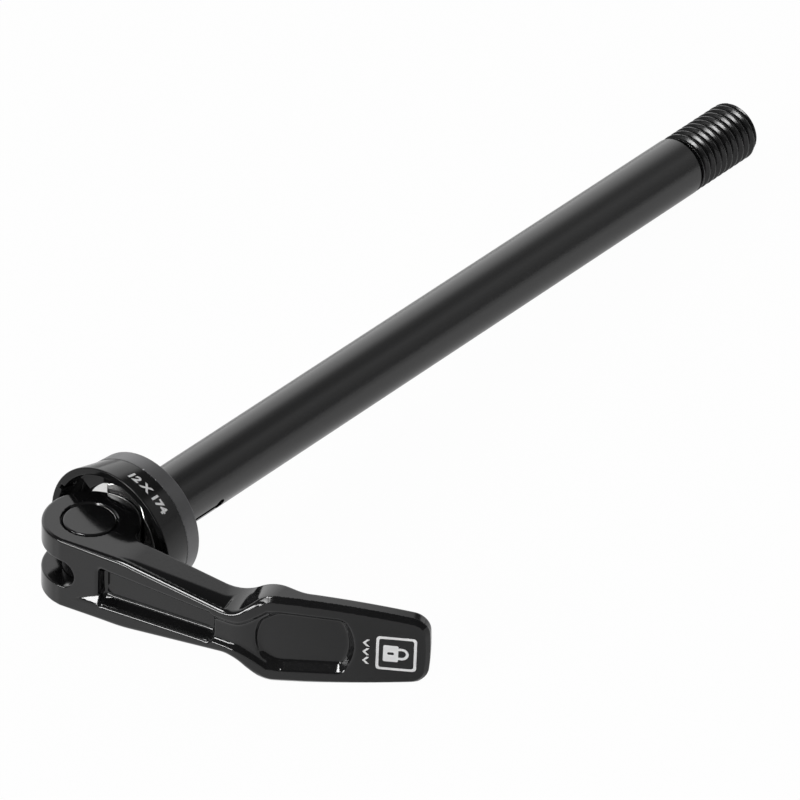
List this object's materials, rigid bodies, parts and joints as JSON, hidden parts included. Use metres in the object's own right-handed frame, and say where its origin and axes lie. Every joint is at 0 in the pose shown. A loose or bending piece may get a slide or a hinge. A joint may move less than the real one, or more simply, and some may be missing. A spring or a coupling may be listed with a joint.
{
  "type": "bicycle thru axle",
  "caption": "Hollow thru axle with a threaded tip, a slit expanding end, a conical end ring and a cam lever that folds out, turns and clamps.",
  "frame": {"origin": "on the axle's centre line at the seat face of the end ring", "axes": "+X along the axle towards the threaded tip, +Z along the lever's pivot, the closed lever runs towards -Y"},
  "size_m": [0.1979, 0.0784, 0.0282],
  "materials": {
    "shaft_anodised": "satin black anodised, rolled thread at the tip",
    "ring_anodised": "satin black anodised with white size numerals",
    "saddle_metal": "bare machined metal",
    "lever_gloss": "polished deep gloss black, forged",
    "barrel_black": "gloss black oxide",
    "rod_steel": "ground steel",
    "washer_steel": "stamped steel",
    "wedge_steel": "turned steel",
    "spring_steel": "drawn spring wire",
    "sleeve_plastic": "natural nylon",
    "adjuster_steel": "turned steel",
    "seal_rubber": "matte rubber"
  },
  "bodies": {
    "axle": {"axle_shaft": "shaft_anodised", "end_ring": "ring_anodised", "return_spring": "spring_steel", "rod_sleeve": "sleeve_plastic", "adjuster_washer": "washer_steel"},
    "head": {"draw_rod": "rod_steel", "pivot_barrel": "barrel_black"},
    "lever": {"lever": "lever_gloss"},
    "pusher": {"cam_saddle": "saddle_metal", "thrust_washer": "washer_steel", "expander_wedge": "wedge_steel"},
    "adjuster": {"tension_adjuster": "adjuster_steel", "adjuster_seal": "seal_rubber"}
  },
  "joints": [
    {"name": "head_swivel", "type": "hinge", "parent": "axle", "child": "head", "pos_m": [0, 0, 0], "axis": [-1, 0, 0], "continuous": true},
    {"name": "lever_pivot", "type": "hinge", "parent": "head", "child": "lever", "pos_m": [-0.01565, 0, 0], "axis": [0, 0, -1], "range_deg": [0, 175]},
    {"name": "wedge_travel", "type": "slide", "parent": "head", "child": "pusher", "axis": [-1, 0, 0], "range_m": [0, 0.00101]},
    {"name": "adjuster_turn", "type": "hinge", "parent": "axle", "child": "adjuster", "pos_m": [0.169, 0, 0], "axis": [1, 0, 0], "continuous": true}
  ],
  "couplings": [
    {"joint": "wedge_travel", "follows": "lever_pivot", "m_per_rad": 0.0003274}
  ]
}
